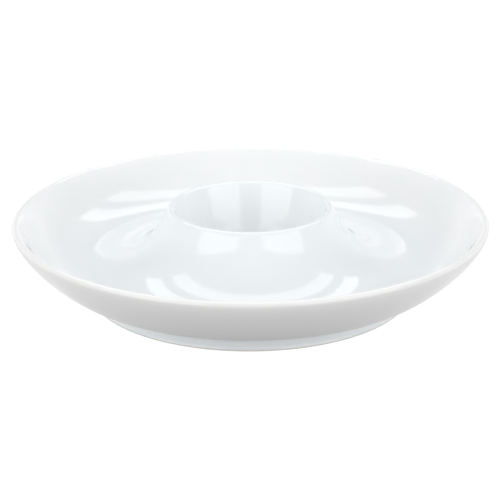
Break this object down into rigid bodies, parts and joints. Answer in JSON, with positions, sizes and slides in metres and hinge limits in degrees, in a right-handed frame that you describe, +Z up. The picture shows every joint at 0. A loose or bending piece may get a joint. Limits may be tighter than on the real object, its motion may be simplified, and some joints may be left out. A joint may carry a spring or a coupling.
{
  "type": "chip and dip server",
  "caption": "Round glazed porcelain dish on a foot ring with a dip well raised in its middle, for chips around a bowl of dip.",
  "frame": {"origin": "centre of the foot ring's standing edge, on the surface that the dish stands on", "axes": "+Z up along the axis of revolution, out of the dip well; X and Y lie anywhere in the standing plane"},
  "size_m": [0.305, 0.305, 0.0554],
  "materials": {
    "porcelain_biscuit": "fired, unglazed and polished smooth at the standing edge, matte",
    "clear_glaze": "clear gloss glaze over white porcelain"
  },
  "bodies": {
    "root": {"porcelain_body": "porcelain_biscuit", "upper_glaze": "clear_glaze", "base_glaze": "clear_glaze"}
  },
  "joints": []
}
